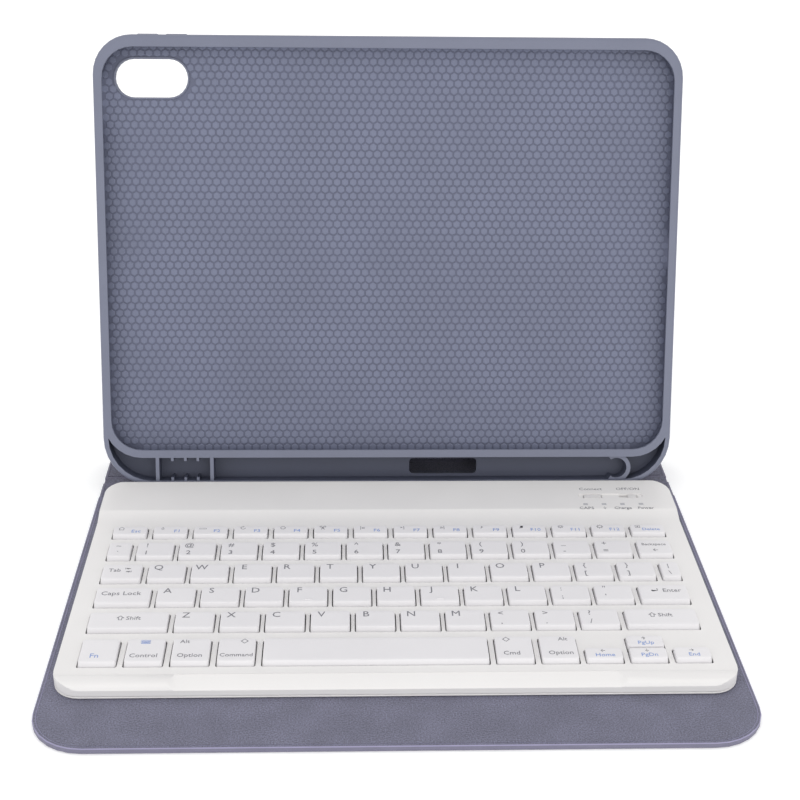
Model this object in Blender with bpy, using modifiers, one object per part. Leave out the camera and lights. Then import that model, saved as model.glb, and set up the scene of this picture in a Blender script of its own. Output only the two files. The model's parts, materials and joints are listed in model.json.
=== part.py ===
"""Folio keyboard case for a 10.9 inch tablet, standing open.

A leather-like cover lies on the table with a wireless keyboard on it. Behind the keyboard the
cover's spine and stand flap hold up a moulded tray, which takes the tablet and a pencil.
World frame: +X to the right, +Y to the back, +Z up, origin under the middle of the base panel.
"""

import math

import bmesh
import bpy
from mathutils import Matrix, Vector

MM = 0.001

# ---- driving dimensions -------------------------------------------------------------------

# cover panels: an outer skin with a rim, a stiff board and a lining
PANEL_T = 2.2 * MM
SKIN_T = 0.7 * MM
BOARD_LOW = 0.8 * MM
BOARD_HIGH = 1.5 * MM
LINING_LOW = 1.6 * MM
RIM = 1.4 * MM
FIT_GAP = 0.3 * MM
HINGE_Z = PANEL_T / 2
HINGE_CLEAR = 2.3 * MM

BASE_WIDTH = 258.0 * MM
BASE_FRONT = -99.5 * MM
BASE_CORNER_R = 20.0 * MM
STRIP_START = 73.0 * MM
STRIP_TOP = 1.5 * MM
STRIP_LINING_LOW = 0.9 * MM
PANEL_LAYERS = (("board", BOARD_LOW, BOARD_HIGH), ("lining", LINING_LOW, PANEL_T))
STRIP_LAYERS = (("lining", STRIP_LINING_LOW, STRIP_TOP),)

SPINE_LENGTH = 21.5 * MM
FLAP_LENGTH = 50.0 * MM
BACK_WIDTH = 252.0 * MM

# tray, in its own frame: x across, y from its front face to its back, z up from its lower edge
LEAN = math.radians(73.7)
TRAY_WIDTH = 253.0 * MM
TRAY_HEIGHT = 196.0 * MM
TRAY_DEPTH = 10.0 * MM
TRAY_TOP_R = 16.8 * MM
TRAY_BOTTOM_R = 21.4 * MM
TRAY_EDGE_R = 1.3 * MM
HEEL_Y = 84.5 * MM
HEEL_Z = 3.4 * MM
CREASE_UP = 49.0 * MM
GLUE_GAP = 0.3 * MM

WALL = 2.3 * MM
FLOOR_T = 2.0 * MM
LIP_T = 1.5 * MM
POCKET_BOTTOM = 14.7 * MM
POCKET_TOP = 194.0 * MM
POCKET_R = 14.8 * MM
OPENING_HALF = 122.7 * MM
OPENING_BOTTOM = 16.2 * MM
OPENING_TOP = 190.9 * MM
OPENING_R = 13.2 * MM
BAND = 3.4 * MM

TROUGH_BOTTOM = 2.4 * MM
TROUGH_DEPTH = 8.2 * MM
PARTITIONS = (-102.8 * MM, -78.7 * MM)
PARTITION_T = 1.6 * MM
TEETH = (-96.2 * MM, -90.4 * MM, -84.9 * MM)
TOOTH_W = 1.2 * MM
TOOTH_L = 1.5 * MM
CLIP_X = 102.7 * MM
CLIP_BORE_R = 4.5 * MM
CLIP_WALL = 1.9 * MM
CLIP_FRONT = 1.0 * MM

CAMERA_X = -102.4 * MM
CAMERA_Z = 178.1 * MM
CAMERA_LENGTH = 31.0 * MM
CAMERA_HEIGHT = 16.2 * MM
FINGER_X = 24.8 * MM
FINGER_LENGTH = 30.5 * MM
FINGER_LOW = 3.6 * MM
FINGER_HIGH = 10.7 * MM
POWER_LOW = 159.0 * MM
POWER_HIGH = 178.0 * MM
SIDE_SLOT_FRONT = 2.5 * MM
SIDE_SLOT_BACK = 7.9 * MM
PORT_Z = 104.0 * MM
PORT_LENGTH = 15.0 * MM
VOLUME_X = {"volume_up_button": -103.2 * MM, "volume_down_button": -91.0 * MM}
VOLUME_LENGTH = 9.4 * MM
VOLUME_WIDTH = 2.8 * MM
VOLUME_Y = 5.0 * MM
PENCIL_SLOT = (-84.3 * MM, 98.6 * MM)

# keyboard
KB_HALF = 124.3 * MM
KB_FRONT = -72.6 * MM
KB_REAR = 73.6 * MM
KB_CORNER_R = 10.2 * MM
KB_WALL = 1.6 * MM
BOTTOM_LOW = 2.5 * MM
BOTTOM_HIGH = 3.3 * MM
CASE_LOW = 3.6 * MM
DECK_Z = 7.6 * MM
HUMP_Z = 9.6 * MM
HUMP_START = 47.5 * MM
SLOPE_START = 41.0 * MM
DECK_T = 1.3 * MM
WELL_HALF = 117.6 * MM
WELL_FRONT = -65.0 * MM
WELL_BACK = 36.8 * MM
SCOOP_HALF = 80.0 * MM
SCOOP_END = 7.0 * MM
SCOOP_RISE = 2.7 * MM

# keys: the cap tapers from its skirt to its top, more at the front than elsewhere
KEY_TOP_Z = 9.1 * MM
WEB_LOW = 6.1 * MM
WEB_HIGH = 6.7 * MM
WEB_MARGIN = 0.5 * MM
KEY_PLATE_LOW = 7.0 * MM
KEY_LEAN = 3.4 * MM
KEY_FOOT = 2.1 * MM
KEY_FLARE = 0.2 * MM
KEY_GAP = 0.35 * MM
ROW_PITCH = 16.81 * MM
ROW6_NEAR = -62.84 * MM
ROW5_NEAR = ROW6_NEAR + 1.254 * ROW_PITCH
FULL_DEPTH = 13.75 * MM
ROW6_DEPTH = 17.3 * MM
ROW1_DEPTH = 9.7 * MM
ARROW_DEPTH = 9.8 * MM
ARROW_SPLIT = 0.45 * MM
ARROW_MARGIN = 0.05 * MM
KEY_PITCH = 17.15 * MM
KEY_TOP_W = 14.67 * MM
F_PITCH = 16.75 * MM
F_TOP_W = 13.86 * MM
KEYS_LEFT = -116.1 * MM
KEYS_RIGHT = 115.6 * MM

# controls on the hump
CONTROL_Y = 59.0 * MM
RECESS = (82.9 * MM, 111.4 * MM)
CONNECT = (85.4 * MM, 93.1 * MM)
SWITCH_SLOT = (101.1 * MM, 109.1 * MM)
SWITCH_KNOB = (104.9 * MM, 108.7 * MM)
CONTROL_HALF_Y = 1.2 * MM
LED_Y = 51.8 * MM
LED_X = (85.1 * MM, 93.2 * MM, 101.3 * MM, 109.4 * MM)

# ---- positions that follow from them --------------------------------------------------------

UP = Vector((0.0, math.cos(LEAN), math.sin(LEAN)))
BACK = Vector((0.0, math.sin(LEAN), -math.cos(LEAN)))
TRAY_ORIGIN = Vector((0.0, HEEL_Y, HEEL_Z)) - TRAY_DEPTH * BACK
PANEL_MID = TRAY_DEPTH + GLUE_GAP + PANEL_T / 2
CREASE = TRAY_ORIGIN + CREASE_UP * UP + PANEL_MID * BACK
FLAP_ANGLE = math.pi - math.asin((CREASE.z - HINGE_Z) / FLAP_LENGTH)
REAR_HINGE_Y = CREASE.y - FLAP_LENGTH * math.cos(FLAP_ANGLE)
FRONT_HINGE_Y = REAR_HINGE_Y - SPINE_LENGTH


# ---- modelling helpers ----------------------------------------------------------------------


def clear_scene():
    for obj in list(bpy.data.objects):
        bpy.data.objects.remove(obj, do_unlink=True)


def collection(name):
    made = bpy.data.collections.new(name)
    bpy.context.scene.collection.children.link(made)
    return made


def material(name, colour, roughness, metallic=0.0):
    made = bpy.data.materials.new(name)
    made.use_nodes = True
    shader = made.node_tree.nodes["Principled BSDF"]
    shader.inputs["Base Color"].default_value = (*colour, 1.0)
    shader.inputs["Roughness"].default_value = roughness
    shader.inputs["Metallic"].default_value = metallic
    return made


def empty(name, place, tilt=0.0):
    """An empty turned by tilt about X, for the parts of one moving piece."""
    made = bpy.data.objects.new(name, None)
    made.location = place
    made.rotation_euler = (tilt, 0.0, 0.0)
    PARTS.objects.link(made)
    return made


def arc(centre_x, centre_y, radius, start, end, steps):
    return [
        (
            centre_x + radius * math.cos(math.radians(start + (end - start) * i / steps)),
            centre_y + radius * math.sin(math.radians(start + (end - start) * i / steps)),
        )
        for i in range(steps + 1)
    ]


def rounded(x0, y0, x1, y1, low_r, high_r, steps=7):
    """A rectangle's outline, anticlockwise, with its own radius at the low and the high side."""
    points = []
    if low_r > 0:
        points += arc(x0 + low_r, y0 + low_r, low_r, 180, 270, steps)
        points += arc(x1 - low_r, y0 + low_r, low_r, 270, 360, steps)
    else:
        points += [(x0, y0), (x1, y0)]
    if high_r > 0:
        points += arc(x1 - high_r, y1 - high_r, high_r, 0, 90, steps)
        points += arc(x0 + high_r, y1 - high_r, high_r, 90, 180, steps)
    else:
        points += [(x1, y1), (x0, y1)]
    return points


def prism(outline, low, high, plane="XY"):
    """A closed mesh: the outline drawn in a plane and extruded from low to high along its normal."""
    place = {
        "XY": lambda a, b, h: (a, b, h),
        "XZ": lambda a, b, h: (a, h, b),
        "YZ": lambda a, b, h: (h, a, b),
    }[plane]
    bm = bmesh.new()
    face = bm.faces.new([bm.verts.new(place(a, b, low)) for a, b in outline])
    grown = bmesh.ops.extrude_face_region(bm, geom=[face])["geom"]
    shift = Vector(place(0.0, 0.0, high - low))
    moved = [item for item in grown if isinstance(item, bmesh.types.BMVert)]
    bmesh.ops.translate(bm, vec=shift, verts=moved)
    bmesh.ops.recalc_face_normals(bm, faces=bm.faces)
    return bm


def loft(sections):
    """A closed mesh through sections that all have the same number of points."""
    bm = bmesh.new()
    rings = [[bm.verts.new(point) for point in section] for section in sections]
    bm.faces.new(rings[0])
    bm.faces.new(rings[-1])
    for one, two in zip(rings, rings[1:]):
        for i in range(len(one)):
            j = (i + 1) % len(one)
            bm.faces.new((one[i], one[j], two[j], two[i]))
    bmesh.ops.recalc_face_normals(bm, faces=bm.faces)
    return bm


def block(x0, y0, z0, x1, y1, z1):
    bm = bmesh.new()
    bmesh.ops.create_cube(bm, size=1.0)
    size = Matrix.Diagonal((x1 - x0, y1 - y0, z1 - z0, 1.0))
    middle = Matrix.Translation(((x0 + x1) / 2, (y0 + y1) / 2, (z0 + z1) / 2))
    bm.transform(middle @ size)
    return bm


def add_object(name, bm, target, parent, origin):
    """Makes a mesh object whose origin is at the point origin, in its parent's frame."""
    bmesh.ops.translate(bm, vec=-Vector(origin), verts=bm.verts)
    mesh = bpy.data.meshes.new(name)
    bm.to_mesh(mesh)
    bm.free()
    made = bpy.data.objects.new(name, mesh)
    made.location = origin
    made.parent = parent
    target.objects.link(made)
    return made


def part(name, bm, skin, parent=None, origin=(0.0, 0.0, 0.0)):
    made = add_object(name, bm, PARTS, parent, origin)
    made.data.materials.append(skin)
    return made


def cutter(name, bm, parent=None):
    made = add_object(name, bm, CUTTERS, parent, (0.0, 0.0, 0.0))
    made.hide_render = True
    made.display_type = "WIRE"
    return made


def cut(target, *tools):
    for tool in tools:
        step = target.modifiers.new("cut_" + tool.name, "BOOLEAN")
        step.operation = "DIFFERENCE"
        step.object = tool


def bevel(target, width, segments):
    step = target.modifiers.new("bevel", "BEVEL")
    step.width = width
    step.segments = segments
    step.harden_normals = False
    step.limit_method = "ANGLE"
    step.angle_limit = math.radians(40)


# ---- the cover ------------------------------------------------------------------------------


def folio_panel(prefix, parent, start, end, width, far_r, skins, thick=PANEL_T, layers=PANEL_LAYERS):
    """A panel along its parent's +y, outer face at -PANEL_T/2: a skin with a rim, and its layers."""
    half = width / 2
    low = -PANEL_T / 2
    outline = rounded(-half, start, half, end, 0.0, far_r)
    skin = part(prefix + "_skin", prism(outline, low, low + thick), skins["skin"], parent)
    inner = (-half + RIM, start + RIM, half - RIM, end - RIM)
    inner_r = max(far_r - RIM, 0.0)
    pocket = prism(rounded(*inner, 0.0, inner_r), low + SKIN_T, low + thick + MM)
    cut(skin, cutter(prefix + "_pocket", pocket, parent))
    inset = (inner[0] + FIT_GAP, inner[1] + FIT_GAP, inner[2] - FIT_GAP, inner[3] - FIT_GAP)
    filling = rounded(*inset, 0.0, max(inner_r - FIT_GAP, 0.0))
    made = [skin]
    for layer, bottom, top in layers:
        bm = prism(filling, low + bottom, low + top)
        made.append(part(f"{prefix}_{layer}", bm, skins[layer], parent))
    return made


def base_panel(skins):
    """The front cover: it lies on the table. Its rear strip has no board, so it is thinner."""
    half = BASE_WIDTH / 2
    rear = FRONT_HINGE_Y - HINGE_CLEAR
    outline = rounded(-half, BASE_FRONT, half, rear, BASE_CORNER_R, 0.0)
    skin = part("base_skin", prism(outline, 0.0, PANEL_T), skins["skin"])
    front = (-half + RIM, BASE_FRONT + RIM, half - RIM, STRIP_START - RIM)
    inner_r = BASE_CORNER_R - RIM
    pocket = prism(rounded(*front, inner_r, 0.0), SKIN_T, PANEL_T + MM)
    rear_box = (-half + RIM, STRIP_START, half - RIM, rear - RIM)
    rear_pocket = prism(rounded(*rear_box, 0.0, 0.0), SKIN_T, PANEL_T + MM)
    step = block(-half - MM, STRIP_START - RIM / 2, STRIP_TOP, half + MM, rear + MM, PANEL_T + MM)
    cut(
        skin,
        cutter("base_pocket", pocket),
        cutter("base_strip_pocket", rear_pocket),
        cutter("base_strip_step", step),
    )
    inset = (front[0] + FIT_GAP, front[1] + FIT_GAP, front[2] - FIT_GAP, front[3] - FIT_GAP)
    filling = rounded(*inset, inner_r - FIT_GAP, 0.0)
    board = part("base_board", prism(filling, BOARD_LOW, BOARD_HIGH), skins["board"])
    part("base_lining", prism(filling, LINING_LOW, PANEL_T), skins["lining"])
    strip = rounded(
        rear_box[0] + FIT_GAP, rear_box[1] + FIT_GAP, rear_box[2] - FIT_GAP, rear_box[3] - FIT_GAP, 0.0, 0.0
    )
    part("base_strip_lining", prism(strip, STRIP_LINING_LOW, STRIP_TOP), skins["lining"])
    for side, centre in (("left", -70.0 * MM), ("right", 70.0 * MM)):
        hole = block(centre - 20.0 * MM, -30.0 * MM, 0.0, centre + 20.0 * MM, -15.0 * MM, PANEL_T)
        cut(board, cutter(f"magnet_hole_{side}", hole))
        magnet = block(
            centre - 19.7 * MM, -29.7 * MM, BOARD_LOW, centre + 19.7 * MM, -15.3 * MM, BOARD_HIGH
        )
        part(f"keyboard_magnet_{side}", magnet, skins["steel"])


def pill(length, height, centre_x, centre_z, grow=0.0):
    half = length / 2 + grow
    radius = height / 2 + grow
    return rounded(
        centre_x - half, centre_z - radius, centre_x + half, centre_z + radius, radius, radius, 6
    )


def back_panel(tray, skins):
    """The upper back cover, glued to the tray's back; it has the camera window."""
    mount = empty("back_panel_frame", (0.0, PANEL_MID, CREASE_UP), math.pi / 2)
    mount.parent = tray
    end = TRAY_HEIGHT - CREASE_UP
    layers = PANEL_LAYERS[:1]
    made = folio_panel("back", mount, HINGE_CLEAR, end, BACK_WIDTH, TRAY_TOP_R, skins, PANEL_T, layers)
    window = pill(CAMERA_LENGTH, CAMERA_HEIGHT, CAMERA_X, CAMERA_Z, grow=0.6 * MM)
    hole = prism(window, TRAY_DEPTH, PANEL_MID + PANEL_T, "XZ")
    for piece in made:
        cut(piece, cutter(piece.name + "_camera_hole", hole.copy(), tray))
    hole.free()


# ---- the tray -------------------------------------------------------------------------------


def trough_cutter(parent):
    """The pencil trough's space: the walls, teeth and clip inside it are left standing."""
    inset = rounded(
        -TRAY_WIDTH / 2 + WALL, TROUGH_BOTTOM, TRAY_WIDTH / 2 - WALL, TRAY_HEIGHT - WALL,
        TRAY_BOTTOM_R - WALL, TRAY_TOP_R - WALL,
    )
    space = cutter("trough_space", prism(inset, -MM, TROUGH_DEPTH, "XZ"), parent)
    band = rounded(
        -OPENING_HALF - BAND, OPENING_BOTTOM - BAND, OPENING_HALF + BAND, TRAY_HEIGHT + BAND,
        OPENING_R + BAND, OPENING_R,
    )
    upper = cutter("trough_above", prism(band, -2 * MM, TRAY_DEPTH, "XZ"), parent)
    top = TROUGH_BOTTOM + TRAY_BOTTOM_R - WALL
    rest = block(-0.2, -2 * MM, top, 0.2, TRAY_DEPTH, TRAY_HEIGHT + MM)
    cut(space, upper, cutter("trough_rest", rest, parent))
    floor = TROUGH_BOTTOM - MM
    ceiling = OPENING_BOTTOM - BAND + MM
    for i, centre in enumerate(PARTITIONS):
        half = PARTITION_T / 2
        wall = block(centre - half, -2 * MM, floor, centre + half, TRAY_DEPTH, ceiling)
        cut(space, cutter(f"trough_wall_{i}", wall, parent))
    for i, centre in enumerate(TEETH):
        half = TOOTH_W / 2
        low = block(centre - half, -2 * MM, floor, centre + half, TRAY_DEPTH, TROUGH_BOTTOM + TOOTH_L)
        high = block(
            centre - half, -2 * MM, ceiling - MM - TOOTH_L, centre + half, TRAY_DEPTH, ceiling
        )
        cut(space, cutter(f"tooth_low_{i}", low, parent), cutter(f"tooth_high_{i}", high, parent))
    cut(space, clip_ring(parent))
    return space


def clip_ring(parent):
    """The C-shaped spring clip that holds the pencil's end, open to the left."""
    centre_z = (TROUGH_BOTTOM + OPENING_BOTTOM - BAND) / 2
    outer_r = CLIP_BORE_R + CLIP_WALL
    opening = 55
    outline = arc(CLIP_X, centre_z, outer_r, -180 + opening, 180 - opening, 18)
    outline += arc(CLIP_X, centre_z, CLIP_BORE_R, 180 - opening, -180 + opening, 18)
    return cutter("clip_ring", prism(outline, CLIP_FRONT, TRAY_DEPTH, "XZ"), parent)


def tray_shell(tray, skins):
    half = TRAY_WIDTH / 2
    outline = rounded(-half, 0.0, half, TRAY_HEIGHT, TRAY_BOTTOM_R, TRAY_TOP_R, 8)
    shell = part("tray_shell", prism(outline, 0.0, TRAY_DEPTH, "XZ"), skins["tpu"], tray)
    bevel(shell, TRAY_EDGE_R, 2)
    pocket = rounded(
        -half + WALL, POCKET_BOTTOM, half - WALL, POCKET_TOP, POCKET_R, POCKET_R
    )
    opening = rounded(
        -OPENING_HALF, OPENING_BOTTOM, OPENING_HALF, OPENING_TOP, OPENING_R, OPENING_R
    )
    finger = rounded(
        FINGER_X - FINGER_LENGTH / 2, FINGER_LOW, FINGER_X + FINGER_LENGTH / 2, FINGER_HIGH,
        1.7 * MM, 1.7 * MM, 3,
    )
    window = pill(CAMERA_LENGTH, CAMERA_HEIGHT, CAMERA_X, CAMERA_Z)
    through = TRAY_DEPTH + MM
    outside = half + MM
    power = block(
        -outside, SIDE_SLOT_FRONT, POWER_LOW, -half + WALL + MM, SIDE_SLOT_BACK, POWER_HIGH
    )
    port = block(
        half - WALL - MM, SIDE_SLOT_FRONT, PORT_Z - PORT_LENGTH / 2,
        outside, SIDE_SLOT_BACK, PORT_Z + PORT_LENGTH / 2,
    )
    pencil = block(
        PENCIL_SLOT[0], SIDE_SLOT_FRONT, POCKET_TOP - MM, PENCIL_SLOT[1], SIDE_SLOT_BACK,
        TRAY_HEIGHT + MM,
    )
    cut(
        shell,
        cutter("pocket", prism(pocket, LIP_T, TRAY_DEPTH - FLOOR_T, "XZ"), tray),
        cutter("opening", prism(opening, -MM, LIP_T + MM, "XZ"), tray),
        trough_cutter(tray),
        cutter("finger_hole", prism(finger, TROUGH_DEPTH - MM, through, "XZ"), tray),
        cutter("camera_window", prism(window, TRAY_DEPTH - FLOOR_T - MM, through, "XZ"), tray),
        cutter("power_slot", power, tray),
        cutter("port_slot", port, tray),
        cutter("pencil_slot", pencil, tray),
    )
    half_l = VOLUME_LENGTH / 2
    half_w = VOLUME_WIDTH / 2
    for name, centre in VOLUME_X.items():
        gap = FIT_GAP
        hole = block(
            centre - half_l - gap, VOLUME_Y - half_w - gap, POCKET_TOP - MM,
            centre + half_l + gap, VOLUME_Y + half_w + gap, TRAY_HEIGHT + MM,
        )
        cut(shell, cutter(name + "_hole", hole, tray))
        pad = block(
            centre - half_l, VOLUME_Y - half_w, POCKET_TOP + 0.1 * MM,
            centre + half_l, VOLUME_Y + half_w, TRAY_HEIGHT + 0.5 * MM,
        )
        origin = (centre, VOLUME_Y, TRAY_HEIGHT)
        bevel(part(name, pad, skins["tpu"], tray, origin), 0.4 * MM, 1)


# ---- the keyboard ---------------------------------------------------------------------------


def top_case(skins):
    """The upper housing: a low deck with a well for the keys and a hump at the back."""
    outline = rounded(-KB_HALF, KB_FRONT, KB_HALF, KB_REAR, KB_CORNER_R, KB_CORNER_R)
    case = part("keyboard_top_case", prism(outline, CASE_LOW, HUMP_Z), skins["white"])
    beyond = 5.0 * MM
    above = [
        (KB_FRONT - beyond, HUMP_Z + beyond),
        (KB_FRONT - beyond, CASE_LOW + 1.9 * MM),
        (KB_FRONT, CASE_LOW + 2.4 * MM),
        (KB_FRONT + 0.7 * MM, DECK_Z - 0.6 * MM),
        (KB_FRONT + 2.0 * MM, DECK_Z + 0.15 * MM),
        (KB_FRONT + 3.8 * MM, DECK_Z + 0.35 * MM),
        (KB_FRONT + 6.8 * MM, DECK_Z + 0.3 * MM),
        (KB_FRONT + 7.4 * MM, DECK_Z),
        (SLOPE_START, DECK_Z),
        (HUMP_START, HUMP_Z - 0.15 * MM),
        (HUMP_START + 1.0 * MM, HUMP_Z),
        (HUMP_START + 1.0 * MM, HUMP_Z + beyond),
    ]
    rear = [
        (KB_REAR - 1.1 * MM, HUMP_Z + beyond),
        (KB_REAR - 1.1 * MM, HUMP_Z),
        (KB_REAR - 0.3 * MM, HUMP_Z - 0.35 * MM),
        (KB_REAR, HUMP_Z - 1.6 * MM),
        (KB_REAR + beyond, HUMP_Z - 2.0 * MM),
        (KB_REAR + beyond, HUMP_Z + beyond),
    ]
    scoop = [
        (KB_FRONT - beyond, HUMP_Z),
        (KB_FRONT - beyond, CASE_LOW + 1.4 * MM),
        (KB_FRONT + 0.4 * MM, CASE_LOW + 2.3 * MM),
        (KB_FRONT + 2.4 * MM, DECK_Z - 0.7 * MM),
        (KB_FRONT + 6.9 * MM, DECK_Z + 0.1 * MM),
        (KB_FRONT + 6.9 * MM, HUMP_Z),
    ]
    ends = (
        (-SCOOP_HALF - SCOOP_END, SCOOP_RISE),
        (-SCOOP_HALF, 0.0),
        (SCOOP_HALF, 0.0),
        (SCOOP_HALF + SCOOP_END, SCOOP_RISE),
    )
    sections = [[(x, y, z + rise) for y, z in scoop] for x, rise in ends]
    wide = KB_HALF + beyond
    inner = KB_HALF - KB_WALL
    inner_r = KB_CORNER_R - KB_WALL
    deck_pocket = rounded(-inner, KB_FRONT + KB_WALL, inner, KB_REAR - KB_WALL, inner_r, inner_r)
    hump_pocket = rounded(-inner, HUMP_START + KB_WALL, inner, KB_REAR - KB_WALL, 1.0 * MM, inner_r)
    recess = rounded(
        RECESS[0], CONTROL_Y - 1.9 * MM, RECESS[1], CONTROL_Y + 1.9 * MM, 1.8 * MM, 1.8 * MM, 4
    )
    slot_half = CONTROL_HALF_Y + FIT_GAP
    cut(
        case,
        cutter("deck_profile", prism(above, -wide, wide, "YZ")),
        cutter("rear_profile", prism(rear, -wide, wide, "YZ")),
        cutter("front_scoop", loft(sections)),
        cutter("deck_pocket", prism(deck_pocket, CASE_LOW - MM, DECK_Z - DECK_T)),
        cutter("hump_pocket", prism(hump_pocket, CASE_LOW - MM, HUMP_Z - DECK_T)),
        cutter("key_well", block(-WELL_HALF, WELL_FRONT, 0.0, WELL_HALF, WELL_BACK, KEY_PLATE_LOW)),
        cutter("key_openings", key_openings()),
        cutter("control_recess", prism(recess, HUMP_Z - 0.5 * MM, HUMP_Z + beyond)),
        cutter(
            "connect_hole",
            block(
                CONNECT[0] - FIT_GAP, CONTROL_Y - slot_half, DECK_Z,
                CONNECT[1] + FIT_GAP, CONTROL_Y + slot_half, HUMP_Z + beyond,
            ),
        ),
        cutter(
            "switch_slot",
            block(
                SWITCH_SLOT[0], CONTROL_Y - slot_half, DECK_Z,
                SWITCH_SLOT[1], CONTROL_Y + slot_half, HUMP_Z + beyond,
            ),
        ),
    )
    for i, x in enumerate(LED_X):
        hole = block(x - 1.0 * MM, LED_Y - 0.9 * MM, DECK_Z, x + 1.0 * MM, LED_Y + 0.9 * MM, HUMP_Z + beyond)
        cut(case, cutter(f"led_hole_{i}", hole))
    port = block(inner - MM, 51.7 * MM, 4.5 * MM, KB_HALF + MM, 61.3 * MM, 8.1 * MM)
    cut(case, cutter("usb_hole", port))


def keyboard_inside(skins):
    outline = rounded(-KB_HALF, KB_FRONT, KB_HALF, KB_REAR, KB_CORNER_R, KB_CORNER_R)
    part("keyboard_bottom_case", prism(outline, BOTTOM_LOW, BOTTOM_HIGH), skins["white"])
    plate = (-118.0 * MM, -66.0 * MM, 118.0 * MM, 38.0 * MM)
    part("key_support_plate", block(*plate[:2], 3.6 * MM, *plate[2:], 4.0 * MM), skins["steel"])
    part("key_dome_sheet", block(*plate[:2], 4.2 * MM, *plate[2:], 4.5 * MM), skins["silicone"])
    part("circuit_board", block(20 * MM, 42 * MM, 3.6 * MM, 118 * MM, 70 * MM, 4.4 * MM), skins["pcb"])
    part("battery", block(-108 * MM, 44 * MM, 3.6 * MM, 10 * MM, 68 * MM, 6.0 * MM), skins["foil"])
    port = part(
        "usb_port",
        block(118.3 * MM, 52.0 * MM, 4.8 * MM, KB_HALF - 0.3 * MM, 61.0 * MM, 7.8 * MM),
        skins["steel"],
    )
    mouth = block(119.0 * MM, 52.4 * MM, 5.2 * MM, KB_HALF + MM, 60.6 * MM, 7.4 * MM)
    cut(port, cutter("usb_mouth", mouth))


def controls(skins):
    low = CONTROL_Y - CONTROL_HALF_Y
    high = CONTROL_Y + CONTROL_HALF_Y
    button = block(CONNECT[0], low, 7.6 * MM, CONNECT[1], high, HUMP_Z - 0.1 * MM)
    origin = ((CONNECT[0] + CONNECT[1]) / 2, CONTROL_Y, HUMP_Z)
    part("connect_button", button, skins["grey"], origin=origin)
    knob = block(SWITCH_KNOB[0], low, 7.6 * MM, SWITCH_KNOB[1], high, HUMP_Z - 0.1 * MM)
    origin = ((SWITCH_KNOB[0] + SWITCH_KNOB[1]) / 2, CONTROL_Y, HUMP_Z)
    part("power_switch", knob, skins["grey"], origin=origin)
    bar_low = 7.2 * MM
    bar_high = 8.0 * MM
    outline = [(LED_X[0] - 1.4 * MM, bar_low), (LED_X[-1] + 1.4 * MM, bar_low)]
    outline += [(LED_X[-1] + 1.4 * MM, bar_high)]
    for x in reversed(LED_X):
        outline += [(x + 0.7 * MM, bar_high), (x + 0.7 * MM, HUMP_Z - 0.1 * MM)]
        outline += [(x - 0.7 * MM, HUMP_Z - 0.1 * MM), (x - 0.7 * MM, bar_high)]
    outline += [(LED_X[0] - 1.4 * MM, bar_high)]
    lights = prism(outline, LED_Y - 0.6 * MM, LED_Y + 0.6 * MM, "XZ")
    part("led_light_pipe", lights, skins["clear"])


def key_block(name, tops, near, depth, lean, foot, margin, skins):
    """Keycaps side by side on one web; tops lists each cap's left and right edge on top."""
    y0 = near + foot
    y1 = near + depth + KEY_FLARE
    edges = []
    for left, right in tops:
        edges += [left - KEY_FLARE, right + KEY_FLARE]
    across = [edges[0] - margin, *edges, edges[-1] + margin]
    along = (y0 - margin, y0, y1, y1 + margin)
    bm = bmesh.new()
    grid = [[bm.verts.new((x, y, WEB_HIGH)) for x in across] for y in along]
    cells = {
        (i, j): bm.faces.new((grid[j][i], grid[j][i + 1], grid[j + 1][i + 1], grid[j + 1][i]))
        for j in range(3)
        for i in range(len(across) - 1)
    }
    caps = [cells[i, 1] for i in range(1, len(across) - 2, 2)]
    down = bmesh.ops.extrude_face_region(bm, geom=list(cells.values()), use_keep_orig=True)["geom"]
    web = [item for item in down if isinstance(item, bmesh.types.BMVert)]
    bmesh.ops.translate(bm, vec=(0.0, 0.0, WEB_LOW - WEB_HIGH), verts=web)
    raised = bmesh.ops.extrude_discrete_faces(bm, faces=caps)["faces"]
    middle_y = (y0 + y1) / 2
    for face, (left, right) in zip(raised, tops):
        for vert in face.verts:
            vert.co.x = right if vert.co.x > (left + right) / 2 else left
            vert.co.y = near + depth if vert.co.y > middle_y else near + lean
            vert.co.z = KEY_TOP_Z
    bmesh.ops.dissolve_limit(bm, angle_limit=math.radians(1.0), verts=bm.verts, edges=bm.edges)
    bmesh.ops.recalc_face_normals(bm, faces=bm.faces)
    centre = ((edges[0] + edges[-1]) / 2, middle_y, KEY_TOP_Z)
    part(name, bm, skins["white"], origin=centre)


def run_of_keys(start, pitch, width, count):
    return [(start + i * pitch, start + i * pitch + width) for i in range(count)]


def key_row(row, near, depth, left_key, run, right_key):
    """A row: a wide key at each end, and between them a run of like keys in two blocks."""
    middle = len(run) // 2
    shape = (near, depth, KEY_LEAN, KEY_FOOT, WEB_MARGIN)
    return [
        (left_key[0], [(KEYS_LEFT, left_key[1])], *shape),
        (f"{row}_keys_left", run[:middle], *shape),
        (f"{row}_keys_right", run[middle:], *shape),
        (right_key[0], [(right_key[1], KEYS_RIGHT)], *shape),
    ]


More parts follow.
